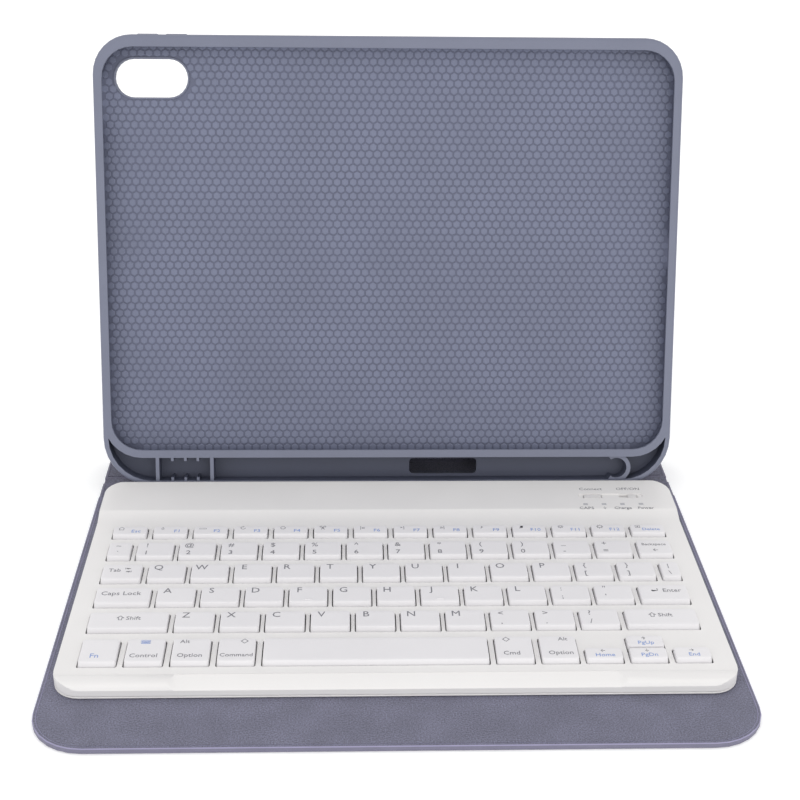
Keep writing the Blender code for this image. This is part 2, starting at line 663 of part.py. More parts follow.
def key_layout():
    """What key_block needs for every key node: its name, its caps' edges and its shape."""
    near = [ROW5_NEAR + i * ROW_PITCH for i in range(5)]
    letters = (KEY_PITCH, KEY_TOP_W)
    run = run_of_keys(KEYS_LEFT + F_PITCH, F_PITCH, F_TOP_W, 12)
    escape = ("escape_key", KEYS_LEFT + F_TOP_W)
    delete = ("delete_key", KEYS_RIGHT - 14.0 * MM)
    layout = key_row("function", near[4], ROW1_DEPTH, escape, run, delete)
    rows = (
        ("number", 3, "grave_key", -107.0, -104.4, 12, "backspace_key", 101.9),
        ("upper", 2, "tab_key", -100.6, -97.9, 12, "backslash_key", 108.3),
        ("home", 1, "caps_lock_key", -95.1, -92.5, 11, "enter_key", 96.6),
        ("lower", 0, "left_shift_key", -86.4, -83.7, 10, "right_shift_key", 88.2),
    )
    for row, step, first, first_end, start, count, last, last_start in rows:
        run = run_of_keys(start * MM, *letters, count)
        first_key = (first, first_end * MM)
        last_key = (last, last_start * MM)
        layout += key_row(row, near[step], FULL_DEPTH, first_key, run, last_key)
    bottom_row = (
        ("fn_key", -116.1, -102.6),
        ("control_key", -99.5, -85.8),
        ("option_key", -82.7, -69.0),
        ("command_key", -65.9, -52.4),
        ("space_bar", -49.3, 33.5),
        ("right_command_key", 36.5, 50.1),
        ("right_option_key", 53.1, 66.6),
        ("arrow_left_key", 69.5, 82.9),
        ("arrow_down_key", 85.9, 99.4),
        ("arrow_right_key", 102.5, 115.6),
    )
    for name, left, right in bottom_row:
        depth = ARROW_DEPTH if name.startswith("arrow") else ROW6_DEPTH
        margin = ARROW_MARGIN if name == "arrow_down_key" else WEB_MARGIN
        cap = [(left * MM, right * MM)]
        layout.append((name, cap, ROW6_NEAR, depth, KEY_LEAN, KEY_FOOT, margin))
        if name == "arrow_down_key":
            used = ARROW_DEPTH + ARROW_SPLIT
            shape = (ROW6_NEAR + used, ROW6_DEPTH - used, 0.3 * MM, 0.1 * MM, ARROW_MARGIN)
            layout.append(("arrow_up_key", cap, *shape))
    return layout


def key_openings():
    """Cuts one opening in the deck for each cap; the two stacked arrow keys share theirs."""
    bm = bmesh.new()
    clear = KEY_FLARE + KEY_GAP
    for name, tops, near, depth, _, foot, _ in key_layout():
        if name == "arrow_up_key":
            continue
        far = ROW6_NEAR + ROW6_DEPTH if name == "arrow_down_key" else near + depth
        for left, right in tops:
            outline = rounded(
                left - clear, near + foot - KEY_GAP, right + clear, far + clear, 0.8 * MM, 0.8 * MM, 3
            )
            hole = prism(outline, KEY_PLATE_LOW - 0.5 * MM, 2 * HUMP_Z)
            mesh = bpy.data.meshes.new("hole")
            hole.to_mesh(mesh)
            hole.free()
            bm.from_mesh(mesh)
            bpy.data.meshes.remove(mesh)
    return bm


# ---- assembly -------------------------------------------------------------------------------


def build():
    skins = {
        "skin": material("cover_leather", (0.27, 0.26, 0.38), 0.62),
        "board": material("grey_board", (0.35, 0.33, 0.30), 0.9),
        "lining": material("microfibre", (0.19, 0.19, 0.26), 0.95),
        "tpu": material("lavender_tpu", (0.19, 0.20, 0.28), 0.5),
        "white": material("white_plastic", (0.78, 0.76, 0.75), 0.45),
        "grey": material("grey_plastic", (0.55, 0.55, 0.56), 0.45),
        "clear": material("clear_plastic", (0.80, 0.80, 0.82), 0.2),
        "steel": material("steel", (0.60, 0.60, 0.62), 0.35, 1.0),
        "silicone": material("silicone", (0.75, 0.75, 0.75), 0.6),
        "pcb": material("circuit_green", (0.03, 0.20, 0.09), 0.5),
        "foil": material("battery_foil", (0.60, 0.62, 0.64), 0.4, 0.6),
    }
    base_panel(skins)
    spine = empty("front_hinge", (0.0, FRONT_HINGE_Y, HINGE_Z))
    spine_end = SPINE_LENGTH - HINGE_CLEAR
    folio_panel("spine", spine, HINGE_CLEAR, spine_end, BASE_WIDTH, 0.0, skins, STRIP_TOP, STRIP_LAYERS)
    flap = empty("rear_hinge", (0.0, REAR_HINGE_Y, HINGE_Z), FLAP_ANGLE)
    flap_end = FLAP_LENGTH - HINGE_CLEAR
    folio_panel("flap", flap, HINGE_CLEAR, flap_end, BACK_WIDTH, 0.0, skins)
    tray = empty("tray_frame", TRAY_ORIGIN, LEAN - math.pi / 2)
    tray_shell(tray, skins)
    back_panel(tray, skins)
    top_case(skins)
    keyboard_inside(skins)
    controls(skins)
    for shape in key_layout():
        key_block(*shape, skins)


clear_scene()
PARTS = collection("tablet_keyboard_case")
CUTTERS = collection("cutters")
build()
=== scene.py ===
"""Looks of the tablet keyboard case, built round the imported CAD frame.

Lengths are in metres, or in millimetres and multiplied by MM where a mesh is made from them.
"""

import json
import math

import bmesh
import bpy
from mathutils import Matrix, Vector


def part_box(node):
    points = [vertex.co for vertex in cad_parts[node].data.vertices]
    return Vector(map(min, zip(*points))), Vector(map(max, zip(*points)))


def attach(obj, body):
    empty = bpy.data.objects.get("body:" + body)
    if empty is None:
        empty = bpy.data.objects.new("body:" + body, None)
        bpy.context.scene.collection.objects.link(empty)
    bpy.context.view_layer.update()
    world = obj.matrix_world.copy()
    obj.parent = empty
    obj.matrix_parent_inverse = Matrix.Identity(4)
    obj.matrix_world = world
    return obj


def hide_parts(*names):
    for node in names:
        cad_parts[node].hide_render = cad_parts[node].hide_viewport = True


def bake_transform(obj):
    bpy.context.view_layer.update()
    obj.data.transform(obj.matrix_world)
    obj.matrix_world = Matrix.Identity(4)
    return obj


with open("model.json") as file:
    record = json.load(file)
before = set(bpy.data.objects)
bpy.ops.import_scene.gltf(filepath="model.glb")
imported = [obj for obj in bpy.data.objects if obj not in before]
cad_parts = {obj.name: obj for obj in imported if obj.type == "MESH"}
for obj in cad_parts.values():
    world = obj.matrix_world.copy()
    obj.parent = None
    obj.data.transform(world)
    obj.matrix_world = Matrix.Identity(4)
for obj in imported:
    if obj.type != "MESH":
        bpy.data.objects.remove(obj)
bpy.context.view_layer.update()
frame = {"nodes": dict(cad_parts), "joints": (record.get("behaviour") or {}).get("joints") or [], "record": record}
NODES = frame["nodes"]
JOINTS = {joint["name"]: joint for joint in frame["joints"]}
MM = 0.001


# ---- materials ------------------------------------------------------------------------------


def linear(*rgb):
    """A colour given in 0 to 255 steps, as the shader wants it."""
    shares = [c / 255 for c in rgb]
    return [c / 12.92 if c <= 0.04045 else ((c + 0.055) / 1.055) ** 2.4 for c in shares]


ROUGH_SWING = 0.06  # how far the roughness goes either way


def material(name, colour, rough, vary=0.05, patch=12.0, grain=(), fleck=None, **sockets):
    """A surface with patches of tone, patch mm wide, and grain as (texture, size, depth) in mm.

    fleck is the size in mm and the strength of a fine speckle; sockets are other shader values.
    """
    made = bpy.data.materials.new(name)
    made.use_nodes = True
    nodes, link = made.node_tree.nodes, made.node_tree.links.new
    shader = nodes["Principled BSDF"]
    for socket, value in sockets.items():
        shader.inputs[socket.replace("_", " ")].default_value = value
    place = nodes.new("ShaderNodeTexCoord").outputs["Object"]
    tone = nodes.new("ShaderNodeTexNoise")
    tone.inputs["Scale"].default_value = 1 / (patch * MM)
    tone.inputs["Detail"].default_value = 5
    link(place, tone.inputs["Vector"])
    ramp = nodes.new("ShaderNodeValToRGB")
    link(tone.outputs["Fac"], ramp.inputs["Fac"])
    low, high = ramp.color_ramp.elements
    low.position, high.position = 0.32, 0.68
    low.color = (*[c * (1 - vary) for c in colour], 1)
    high.color = (*[min(c * (1 + vary), 1) for c in colour], 1)
    painted = ramp.outputs["Color"]
    if fleck:
        size, strength = fleck
        fine = nodes.new("ShaderNodeTexNoise")
        fine.inputs["Scale"].default_value = 1 / (size * MM)
        fine.inputs["Detail"].default_value = 3
        link(place, fine.inputs["Vector"])
        span = nodes.new("ShaderNodeMapRange")
        span.inputs["From Min"].default_value, span.inputs["From Max"].default_value = 0.3, 0.7
        span.inputs["To Min"].default_value = 1 - strength
        span.inputs["To Max"].default_value = 1 + strength
        link(fine.outputs["Fac"], span.inputs["Value"])
        mix = nodes.new("ShaderNodeVectorMath")
        mix.operation = "SCALE"
        link(painted, mix.inputs[0])
        link(span.outputs["Result"], mix.inputs["Scale"])
        painted = mix.outputs["Vector"]
    link(painted, shader.inputs["Base Color"])
    gloss = nodes.new("ShaderNodeMapRange")
    gloss.inputs["To Min"].default_value = rough - ROUGH_SWING
    gloss.inputs["To Max"].default_value = min(rough + ROUGH_SWING, 1)
    link(tone.outputs["Fac"], gloss.inputs["Value"])
    link(gloss.outputs["Result"], shader.inputs["Roughness"])
    last = None
    for texture, size, depth in grain:
        relief = nodes.new("ShaderNodeTex" + texture)
        relief.inputs["Scale"].default_value = 1 / (size * MM)
        link(place, relief.inputs["Vector"])
        bump = nodes.new("ShaderNodeBump")
        bump.inputs["Distance"].default_value = depth * MM
        link(relief.outputs[0], bump.inputs["Height"])
        if last:
            link(last, bump.inputs["Normal"])
        last = bump.outputs["Normal"]
    if last:
        link(last, shader.inputs["Normal"])
    return made


LEATHER = material(
    "leather_grain", linear(112, 110, 130), 0.55, 0.05, 9.0,
    [("Voronoi", 0.75, 0.09), ("Noise", 0.25, 0.03)], (0.5, 0.06),
)
EDGE = material("leather_edge", linear(146, 142, 172), 0.5, 0.05, 6.0, [("Noise", 0.4, 0.03)])
LINING = material(
    "microfibre_nap", linear(107, 107, 125), 0.92, 0.09, 12.0,
    [("Noise", 0.6, 0.16), ("Noise", 0.2, 0.06)], (0.55, 0.42),
    Sheen_Weight=0.15, Sheen_Roughness=0.5,
)
TPU = material(
    "tray_tpu", linear(110, 114, 132), 0.42, 0.03, 18.0,
    [("Noise", 0.18, 0.010), ("Noise", 2.5, 0.006)], (0.3, 0.03),
)
# Darker copies of the tray's TPU that paint in shade: the first goes on the recessed pocket floor, the second,
# darker still, on the inner walls and the trough.
SHADED_FLOOR_TPU = material(
    "tray_floor_tpu", linear(92, 96, 117), 0.55, 0.04, 26.0, [("Noise", 0.2, 0.012)], (0.35, 0.04)
)
SHADED_WALL_TPU = material(
    "tray_wall_tpu", linear(72, 76, 94), 0.55, 0.05, 20.0, [("Noise", 0.2, 0.012)], (0.35, 0.04)
)
CELL_TPU = material(
    "tray_cell_tpu", linear(106, 111, 133), 0.46, 0.06, 30.0, [("Noise", 0.2, 0.012)], (0.35, 0.06)
)
WHITE = material(
    "housing_white", linear(228, 226, 225), 0.38, 0.012, 25.0,
    [("Noise", 0.12, 0.006), ("Noise", 0.5, 0.004)], (0.3, 0.012),
)
CAP_WHITE = material(
    "keycap_white", linear(226, 224, 226), 0.42, 0.012, 20.0,
    [("Noise", 0.12, 0.008)], (0.3, 0.012),
)
INK = material("legend_grey", linear(118, 118, 124), 0.5, 0.05, 3.0)
BLUE_INK = material("legend_blue", linear(122, 148, 202), 0.5, 0.05, 3.0)
# Near-black painted shade for the web under the caps, which shows only in the gaps between them.
GAP_SHADE = material("key_membrane", linear(58, 58, 60), 0.7, 0.08, 4.0, [("Noise", 0.4, 0.02)])
GREY = material("control_grey", linear(216, 214, 214), 0.4, 0.02, 5.0, [("Noise", 0.2, 0.01)])
LENS = material(
    "led_lens", linear(186, 186, 190), 0.35, 0.05, 2.0, [("Noise", 0.3, 0.01)]
)
STEEL = material(
    "steel_satin", linear(170, 170, 174), 0.32, 0.06, 4.0, [("Noise", 0.3, 0.01)], Metallic=1.0
)
BOARD = material(
    "pressed_board", linear(120, 116, 108), 0.9, 0.12, 3.0, [("Noise", 0.5, 0.05)], (0.6, 0.2)
)
SILICONE = material("silicone_sheet", linear(196, 196, 194), 0.6, 0.03, 8.0, [("Noise", 0.4, 0.02)])
SOLDER_MASK = material("solder_mask", linear(28, 96, 62), 0.35, 0.08, 4.0, [("Noise", 0.6, 0.02)])
FOIL = material(
    "battery_pouch", linear(176, 178, 182), 0.35, 0.05, 5.0, [("Noise", 1.2, 0.06)], Metallic=0.7
)
FINISH = {
    "cover_leather": LEATHER, "board": BOARD, "microfibre": LINING, "lavender_tpu": TPU,
    "white_plastic": WHITE, "keycap_white": CAP_WHITE, "grey_plastic": GREY, "clear_plastic": LENS,
    "steel": STEEL, "silicone": SILICONE, "circuit_green": SOLDER_MASK, "battery_foil": FOIL,
}
SLOT_OF = {part["node"]: part["material_slot"] for part in frame["record"]["subparts"]}
BODY_OF = {n: body for body, names in frame["record"]["behaviour"]["bodies"].items() for n in names}
for node_name, node in NODES.items():
    node.data.materials.clear()
    node.data.materials.append(FINISH[SLOT_OF[node_name]])


# ---- making pieces --------------------------------------------------------------------------


def shade(mesh, angle):
    mesh.shade_smooth()
    mesh.set_sharp_from_angle(angle=math.radians(angle))


def piece(name, bm, body, slot, *materials, angle=35, place=None):
    """Adds a mesh as a piece that rides on a body. place turns its points into the frame's."""
    mesh = bpy.data.meshes.new(name)
    bm.to_mesh(mesh)
    bm.free()
    if place is not None:
        mesh.transform(place)
    for item in materials:
        mesh.materials.append(item)
    shade(mesh, angle)
    made = bpy.data.objects.new(name, mesh)
    bpy.context.scene.collection.objects.link(made)
    if body:
        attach(made, body)
    return made


def apply_modifiers(made):
    """Gives the piece its evaluated mesh, so that no modifier is left on it."""
    bpy.context.view_layer.update()
    graph = bpy.context.evaluated_depsgraph_get()
    done = bpy.data.meshes.new_from_object(made.evaluated_get(graph))
    made.modifiers.clear()
    made.data = done


SAME_POINT = 0.002 * MM
SAME_PLANE = math.radians(1.0)


def clean_copy(node_name):
    """A CAD node's mesh with its corners joined and its flat faces whole again."""
    bm = bmesh.new()
    bm.from_mesh(NODES[node_name].data)
    bmesh.ops.remove_doubles(bm, verts=bm.verts, dist=SAME_POINT)
    bmesh.ops.dissolve_limit(
        bm, angle_limit=SAME_PLANE, verts=bm.verts, edges=bm.edges, use_dissolve_boundaries=False
    )
    for layer in list(bm.loops.layers.float_vector.values()):
        bm.loops.layers.float_vector.remove(layer)
    return bm


def refined(node_name, width, finish, segments=2, limit=38, angle=40):
    """Stands for a CAD node with the same shape, its sharp edges rounded over by width."""
    body, slot = BODY_OF[node_name], SLOT_OF[node_name]
    made = piece(node_name + "_surface", clean_copy(node_name), body, slot, finish)
    rounding = made.modifiers.new("rounding", "BEVEL")
    rounding.width = width
    rounding.segments = segments
    rounding.limit_method = "ANGLE"
    rounding.angle_limit = math.radians(limit)
    rounding.use_clamp_overlap = True
    apply_modifiers(made)
    shade(made.data, angle)
    made.modifiers.new("even_shading", "WEIGHTED_NORMAL").keep_sharp = True
    apply_modifiers(made)
    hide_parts(node_name)
    return made


def ring(left, near, right, far, radius, height, steps=4):
    """A rounded rectangle's points, anticlockwise from above."""
    corners = ((right, near, -90), (right, far, 0), (left, far, 90), (left, near, 180))
    points = []
    for x, y, start in corners:
        centre_x = x - radius if x == right else x + radius
        centre_y = y - radius if y == far else y + radius
        for i in range(steps + 1):
            turn = math.radians(start + 90 * i / steps)
            dx, dy = radius * math.cos(turn), radius * math.sin(turn)
            points.append(Vector((centre_x + dx, centre_y + dy, height)))
    return points


def skin(bm, rings, index=0):
    """Joins rings of points into a closed form, from the bottom ring to the top one."""
    loops = [[bm.verts.new(point) for point in points] for points in rings]
    count = len(loops[0])
    faces = [bm.faces.new(list(reversed(loops[0]))), bm.faces.new(loops[-1])]
    for low, high in zip(loops, loops[1:]):
        for i in range(count):
            j = (i + 1) % count
            faces.append(bm.faces.new((low[i], low[j], high[j], high[i])))
    for face in faces:
        face.material_index = index


# ---- where the tray stands ------------------------------------------------------------------

UP = -Vector(JOINTS["volume_up_press"]["axis"]).normalized()
BACK = Vector((0, UP.z, -UP.y))
TRAY_POINTS = [vert.co for vert in NODES["tray_shell"].data.vertices]
TRAY_FRONT = min(point.dot(BACK) for point in TRAY_POINTS)
TRAY_FOOT = min(point.dot(UP) for point in TRAY_POINTS)
TRAY_CORNER = BACK * TRAY_FRONT + UP * TRAY_FOOT
TRAY_PLACE = Matrix((
    (1, 0, 0, 0),
    (0, BACK.y, UP.y, TRAY_CORNER.y),
    (0, BACK.z, UP.z, TRAY_CORNER.z),
    (0, 0, 0, 1),
))

# ---- the cover ------------------------------------------------------------------------------

LINING_GAP = 0.3 * MM  # between the lining's edge and the rim of the skin round it
RIM_FLAT = 0.05 * MM  # how far under the highest point a face still counts as the rim's top
RIM_EDGE = 0.5 * MM  # how far down the rounded edge shows the light cut of the leather

for node_name in ("base_skin", "spine_skin", "flap_skin", "back_skin"):
    cover = refined(node_name, 0.45 * MM, LEATHER).data
    if node_name == "base_skin":
        cover.materials.append(LINING)
        cover.materials.append(EDGE)
        edge_top = max(vert.co.z for vert in cover.vertices)
        for face in cover.polygons:
            if face.normal.z > 0.95 and face.center.z > edge_top - RIM_FLAT:
                face.material_index = 1
            elif face.center.z > edge_top - RIM_EDGE and face.normal.z > 0.05:
                face.material_index = 2
for node_name in ("base_lining", "base_strip_lining", "spine_lining", "flap_lining"):
    lining = refined(node_name, 0.1 * MM, LINING).data
    low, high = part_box(node_name)
    wider = 1 + 2 * LINING_GAP / (high.x - low.x)
    longer = 1 + 2 * LINING_GAP / (high.y - low.y) if node_name == "base_lining" else 1
    middle = (low + high) / 2
    stretch = Matrix.Diagonal((wider, longer, 1, 1))
    lining.transform(Matrix.Translation(middle) @ stretch @ Matrix.Translation(-middle))


CREASE_REACH = 2.35 * MM  # from the hinge line to each end of a soft strip
CREASE_STEPS = 14  # along the bend
CREASE_HALVES = 12  # across, from the middle to each side
STRIP_LEATHER = (-1.08 * MM, -0.42 * MM)  # inner and outer face, measured inward from the hinge
STRIP_LINING_LOW = -0.4 * MM
STRIP_INSET = 0.2 * MM  # from the cover's side to the strip's
LINING_INSET = MM  # from the strip's side to its lining's


def crease(name, hinge_name, ahead, after, halves, levels, finish, slot):
    """A soft strip of the cover across a hinge, from direction ahead of it to direction after it.

    halves is its half width at either end, and levels the height of its two faces.
    """
    joint = JOINTS[hinge_name]
    hinge = Vector(joint["pos_m"])
    start, end = hinge - ahead * CREASE_REACH, hinge + after * CREASE_REACH
    bm = bmesh.new()
    rows = []
    for i in range(CREASE_STEPS + 1):
        t = i / CREASE_STEPS
        point = start * (1 - t) ** 2 + hinge * 2 * t * (1 - t) + end * t * t
        along = ((hinge - start) * (1 - t) + (end - hinge) * t).normalized()
        inward = Vector((0, -along.z, along.y))
        half = halves[0] + (halves[1] - halves[0]) * t
        row = []
        for level in levels:
            for column in range(-CREASE_HALVES, CREASE_HALVES + 1):
                across = Vector((half * column / CREASE_HALVES, 0, 0))
                row.append(bm.verts.new(point + inward * level + across))
        rows.append(row)
    wide = 2 * CREASE_HALVES + 1
    for one, two in zip(rows, rows[1:]):
        for j in range(wide - 1):
            bm.faces.new((one[j], two[j], two[j + 1], one[j + 1]))
            bm.faces.new((one[wide + j], one[wide + j + 1], two[wide + j + 1], two[wide + j]))
        bm.faces.new((one[0], one[wide], two[wide], two[0]))
        bm.faces.new((one[wide - 1], two[wide - 1], two[2 * wide - 1], one[2 * wide - 1]))
    for row in (rows[0], rows[-1]):
        for j in range(wide - 1):
            bm.faces.new((row[j], row[j + 1], row[wide + j + 1], row[wide + j]))
    bmesh.ops.recalc_face_normals(bm, faces=bm.faces)
    made = piece(name, bm, None, slot, finish, angle=60)
    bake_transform(made)


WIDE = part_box("base_skin")[1].x - STRIP_INSET
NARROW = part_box("flap_skin")[1].x - STRIP_INSET
ALONG_Y = Vector((0, 1, 0))
FLAP_UP = Vector(JOINTS["tray_crease"]["pos_m"]) - Vector(JOINTS["flap_hinge"]["pos_m"])
FLAP_UP.normalize()
HINGES = (  # strip, hinge, direction ahead and after, half widths, height of the lining's face
    ("front_crease", "cover_hinge", ALONG_Y, ALONG_Y, (WIDE, WIDE), 0.35 * MM),
    ("rear_crease", "flap_hinge", ALONG_Y, FLAP_UP, (WIDE, NARROW), 0.3 * MM),
    ("tray_crease_strip", "tray_crease", FLAP_UP, UP, (NARROW, NARROW), 0.5 * MM),
)
for name, hinge_name, ahead, after, halves, top in HINGES:
    crease(
        name + "_leather", hinge_name, ahead, after, halves, STRIP_LEATHER, LEATHER, "cover_leather"
    )
    narrower = [half - LINING_INSET for half in halves]
    levels = (STRIP_LINING_LOW, top)
    crease(name + "_lining", hinge_name, ahead, after, narrower, levels, LINING, "microfibre")

# ---- the tray -------------------------------------------------------------------------------

# In the tray's own frame, in mm: x to the right, y back from its front face, z up from its foot.
FLOOR_Y = 8.0
WALL_FRONT, WALL_BACK = 0.9, 9.0  # the tray's inner walls get the darker painted shade between these depths
TROUGH_FRONT = 1.5  # a trough face that looks forward gets the darker painted shade if it is behind this
LOOK_AHEAD = 3.0  # a step off a face, which tells an inner wall from the tray's outside
TROUGH_TOP = 14.7
OUTLINE = (126.5, 0.0, 196.0, 17.0)  # half width, low and high edge, corner radius
POCKET = (124.2, TROUGH_TOP, 194.0, 14.8)
WINDOW = (-102.4, 178.1, 31.0, 16.2)  # centre x and z, length, height
WINDOW_BORDER = 0.9
CELL_PITCH = 3.5
CELL_ACROSS = 2.84
CELL_RISE = 0.28
CELL_START = 1.2  # from the pocket's low edge to the first row
CELL_CLEAR = 1.0  # from a cell's middle to the nearest wall
CELL_PROFILE = ((1.0, -0.1), (1.0, 0.6 * CELL_RISE), (0.86, CELL_RISE))  # share of width, rise
SHADED_FLOOR_FACE, SHADED_WALL_FACE = 1, 2  # the tray's second and third material: painted shade on the pocket floor, and darker painted shade on the inner walls and trough


def within(x, z, outline, margin=0.0):
    """Whether a point is inside a rounded rectangle of the tray's front view, by a margin."""
    half, low, high, radius = outline
    side = max(abs(x) - (half - radius), 0)
    rise = max(z - (high - radius), (low + radius) - z, 0)
    return math.hypot(side, rise) < radius - margin


tray = refined("tray_shell", 0.35 * MM, TPU).data
tray.materials.append(SHADED_FLOOR_TPU)
tray.materials.append(SHADED_WALL_TPU)
INTO_TRAY = TRAY_PLACE.inverted()
# Paints shade into the tray: the pocket floor gets the floor's painted shade, and the inner walls and the trough's
# forward faces get the darker wall shade.
for face in tray.polygons:
    spot = INTO_TRAY @ face.center / MM
    facing = INTO_TRAY.to_3x3() @ face.normal
    ahead = spot + facing * LOOK_AHEAD
    faces_in = within(ahead.x, ahead.z, OUTLINE)
    faces_front = facing.y < -0.9
    if faces_front and abs(spot.y - FLOOR_Y) < 0.1 and spot.z > TROUGH_TOP:
        face.material_index = SHADED_FLOOR_FACE
    elif faces_in and WALL_FRONT < spot.y < WALL_BACK and abs(facing.y) < 0.7:
        face.material_index = SHADED_WALL_FACE
    elif faces_in and faces_front and spot.y > TROUGH_FRONT:
        face.material_index = SHADED_WALL_FACE
for node_name in ("volume_up_button", "volume_down_button"):
    refined(node_name, 0.25 * MM, TPU)


def on_floor(x, z, margin):
    """Whether a point of the tray's floor is clear of its walls and the camera window."""
    if not within(x, z, POCKET, margin):
        return False
    centre_x, centre_z, length, height = WINDOW
    past = max(abs(x - centre_x) - (length - height) / 2, 0)
    return math.hypot(past, z - centre_z) > height / 2 + margin + WINDOW_BORDER


def honeycomb():
    """The tray floor's raised six-sided cells, staggered in rows."""
    bm = bmesh.new()
    half, low, high, _ = POCKET
    row_pitch = CELL_PITCH * math.sqrt(3) / 2
    corner = CELL_ACROSS / math.sqrt(3)
    columns = int(half / CELL_PITCH) + 2
    for row in range(int((high - low) / row_pitch) + 1):
        z = low + CELL_START + row * row_pitch
        for column in range(-columns, columns + 1):
            x = (column + 0.5 * (row % 2)) * CELL_PITCH
            if not on_floor(x, z, CELL_CLEAR):
                continue
            rings = []
            for share, rise in CELL_PROFILE:
                points = []
                for k in range(6):
                    turn = math.radians(60 * k + 30)
                    dx, dz = corner * share * math.cos(turn), corner * share * math.sin(turn)
                    points.append(Vector((x + dx, FLOOR_Y - rise, z + dz)) * MM)
                rings.append(points)
            skin(bm, rings)
    return bm


piece("tray_honeycomb", honeycomb(), "tray", "lavender_tpu", CELL_TPU, angle=20, place=TRAY_PLACE)


RIM_PROFILE = (  # outward from the window's edge, back from the floor
    (0.05, 0.1), (0.05, -0.45), (0.2, -0.6), (0.65, -0.6), (0.8, -0.45), (0.8, 0.1)
)
RIM_STEPS = 12  # in each round end


def window_points(grow, y):
    """The outline of the camera window, grown outward."""
    centre_x, centre_z, length, height = WINDOW
    half, radius = (length - height) / 2, height / 2 + grow
    points = []
    for side, start in ((1, -90), (-1, 90)):
        for i in range(RIM_STEPS + 1):
            turn = math.radians(start + 180 * i / RIM_STEPS)
            x = centre_x + side * half + radius * math.cos(turn)
            points.append(Vector((x, y, centre_z + radius * math.sin(turn))) * MM)
    return points


def window_rim():
    """A thin raised lip round the camera window."""
    bm = bmesh.new()
    loops = []
    for grow, back in RIM_PROFILE:
        loops.append([bm.verts.new(point) for point in window_points(grow, FLOOR_Y + back)])
    count = len(loops[0])
    for low, high in zip(loops, loops[1:] + loops[:1]):
        for i in range(count):
            j = (i + 1) % count
            bm.faces.new((low[i], low[j], high[j], high[i]))
    bmesh.ops.recalc_face_normals(bm, faces=bm.faces)
    return bm


piece("camera_window_rim", window_rim(), "tray", "lavender_tpu", TPU, place=TRAY_PLACE)

# ---- the keyboard ---------------------------------------------------------------------------

refined("keyboard_top_case", 0.35 * MM, WHITE, 3, 30, 50)
refined("keyboard_bottom_case", 0.3 * MM, WHITE)
refined("usb_port", 0.1 * MM, STEEL, 1)
refined("power_switch", 0.25 * MM, GREY)
refined("connect_button", 0.25 * MM, GREY)
refined("led_light_pipe", 0.1 * MM, LENS, 1)

CASE_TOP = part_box("keyboard_top_case")[1].z / MM
CONTROL_Y = (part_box("connect_button")[0].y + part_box("connect_button")[1].y) / 2 / MM
LED_Y = (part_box("led_light_pipe")[0].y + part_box("led_light_pipe")[1].y) / 2 / MM
LED_X = (85.1, 93.2, 101.3, 109.4)
LED_HALF_X, LED_HALF_Y = 0.98, 0.88
SHUTTER_REACH = 4.3  # past the knob on either side, to cover the slot at both of its ends
SHUTTER_HALF_Y = 1.9
SHUTTER_LOW, SHUTTER_HIGH = 0.3, 0.6  # above the knob's lower end
PLATE_EDGE = 0.06  # the height of a plate's bevelled edge, and how far it is set in


def plates(name, body, spans, half_y, middle, low, high, slot, finish):
    """Flat plates side by side with a bevelled top edge, in mm; spans are their left and right."""
    bm = bmesh.new()
    levels = ((0.0, 0.35, low), (0.0, 0.35, high - PLATE_EDGE), (PLATE_EDGE, 0.3, high))
    for left, right in spans:
        rings = []
        for inset, radius, z in levels:
            near, far = middle - half_y + inset, middle + half_y - inset
            rings.append([p * MM for p in ring(left + inset, near, right - inset, far, radius, z)])
        skin(bm, rings)
    piece(name, bm, body, slot, finish)


plates(
    "led_windows", "keyboard", [(x - LED_HALF_X, x + LED_HALF_X) for x in LED_X],
    LED_HALF_Y, LED_Y, CASE_TOP - 0.5, CASE_TOP - 0.06, "clear_plastic", LENS,
)
KNOB_LOW, KNOB_HIGH = (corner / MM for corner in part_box("power_switch"))
plates(
    "power_switch_shutter", "power_switch",
    [(KNOB_LOW.x - SHUTTER_REACH, KNOB_HIGH.x + SHUTTER_REACH)],
    SHUTTER_HALF_Y, CONTROL_Y, KNOB_LOW.z + SHUTTER_LOW, KNOB_LOW.z + SHUTTER_HIGH,
    "grey_plastic", GREY,
)

WEB_LOW, WEB_HIGH = 6.1, 6.7  # heights of the web under a node's caps
CAP_TOP = 9.1
CAP_RINGS = (  # share of the way down to the foot, inset, height, corner radius
    (1.0, 0.03, 6.65, 0.9),
    (0.93, 0.0, 6.87, 1.0),
    (0.16, 0.0, 8.72, 1.2),
    (0.06, 0.0, 8.94, 1.2),
    (0.0, 0.1, 9.05, 1.1),
    (0.0, 0.4, 9.1, 1.0),
    (0.0, 1.5, 9.06, 0.8),
)


def cap_shapes(node_name):
    """Each cap of a key node as its foot and its top, both left, near, right and far, in mm."""
    points = [vert.co / MM for vert in NODES[node_name].data.vertices]
    top = [p for p in points if p.z > CAP_TOP - 0.05]
    foot = [p for p in points if abs(p.z - WEB_HIGH) < 0.02]
    top_x = sorted({round(p.x, 2) for p in top})
    top_y = sorted({round(p.y, 2) for p in top})
    foot_x = sorted({round(p.x, 2) for p in foot})[1:-1]  # without the web's own edges
    foot_y = sorted({round(p.y, 2) for p in foot})[1:-1]
    return [
        (
            (foot_x[i], foot_y[0], foot_x[i + 1], foot_y[1]),
            (top_x[i], top_y[0], top_x[i + 1], top_y[-1]),
        )
        for i in range(0, len(top_x), 2)
    ]


def keycap(bm, foot, top):
    """Adds one cap: its sides from foot to top, and a shallow dish in the top."""
    rings = []
    for share, inset, height, radius in CAP_RINGS:
        left, near, right, far = (high + (low - high) * share for low, high in zip(foot, top))
        corners = ring(left + inset, near + inset, right - inset, far - inset, radius, height)
        rings.append([point * MM for point in corners])
    skin(bm, rings)


